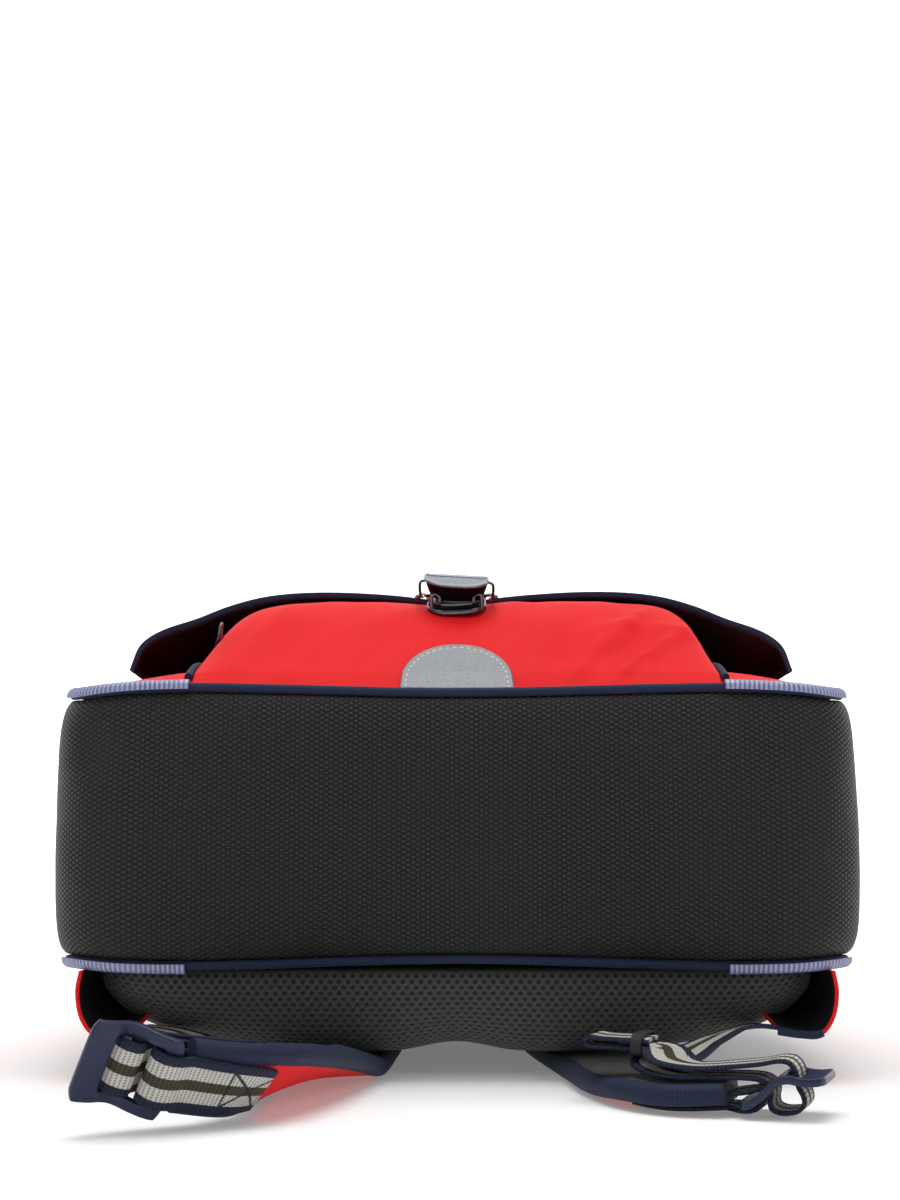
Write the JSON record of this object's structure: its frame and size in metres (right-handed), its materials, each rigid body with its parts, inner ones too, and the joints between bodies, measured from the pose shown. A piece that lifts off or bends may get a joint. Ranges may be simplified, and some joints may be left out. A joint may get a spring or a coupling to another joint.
{
  "type": "school satchel",
  "caption": "Boxy school satchel with a flap, lever lock, front pocket, padded back and padded shoulder straps, resting on its back.",
  "frame": {"origin": "centre of the bounding box, at ground level, under the satchel as it rests on its back", "axes": "+Y from the base towards the mouth and the handle, +Z from the back pad up towards the front pocket, +X across the bag"},
  "size_m": [0.4258, 0.5464, 0.2615],
  "materials": {
    "base_fabric": "matt, raised weave",
    "red_fabric": "matt twill",
    "navy_fabric": "matt",
    "guard_plastic": "satin, translucent look",
    "air_mesh": "matt open mesh",
    "reflective_fabric": "satin",
    "striped_webbing": "matt ribbed",
    "black_elastic": "matt",
    "navy_plastic": "satin",
    "black_plastic": "gloss",
    "dark_metal": "dark polished"
  },
  "bodies": {
    "bag": {"base_gusset": "base_fabric", "side_gusset_left": "red_fabric", "side_gusset_right": "red_fabric", "front_panel": "red_fabric", "back_panel": "air_mesh", "back_piping": "navy_fabric", "front_piping": "navy_fabric", "corner_guard_back_left": "guard_plastic", "corner_guard_back_right": "guard_plastic", "corner_guard_front_left": "guard_plastic", "corner_guard_front_right": "guard_plastic", "back_pad": "air_mesh", "front_pocket": "red_fabric", "pocket_piping": "navy_fabric", "reflector_patch": "reflective_fabric", "strap_left": "red_fabric", "ladder_lock_left": "navy_plastic", "sewn_webbing_left": "striped_webbing", "lower_webbing_left": "striped_webbing", "strap_right": "red_fabric", "ladder_lock_right": "navy_plastic", "sewn_webbing_right": "striped_webbing", "lower_webbing_right": "striped_webbing", "webbing_keeper": "black_elastic", "anchor_wing_left": "red_fabric", "anchor_wing_right": "red_fabric", "flap": "navy_fabric", "handle_anchor_left": "navy_fabric", "handle_anchor_right": "navy_fabric", "handle": "navy_fabric", "pocket_zip": "navy_fabric", "zip_pull": "dark_metal", "lock_base": "dark_metal", "lock_hinge": "dark_metal"},
    "lock_lever": {"lock_lever_cover": "dark_metal", "lock_lever_core": "black_plastic"}
  },
  "joints": [
    {"name": "lock_lever_hinge", "type": "hinge", "parent": "bag", "child": "lock_lever", "pos_m": [0, -0.01517, 0.2498], "axis": [-1, 0, 0], "range_deg": [0, 60]}
  ]
}
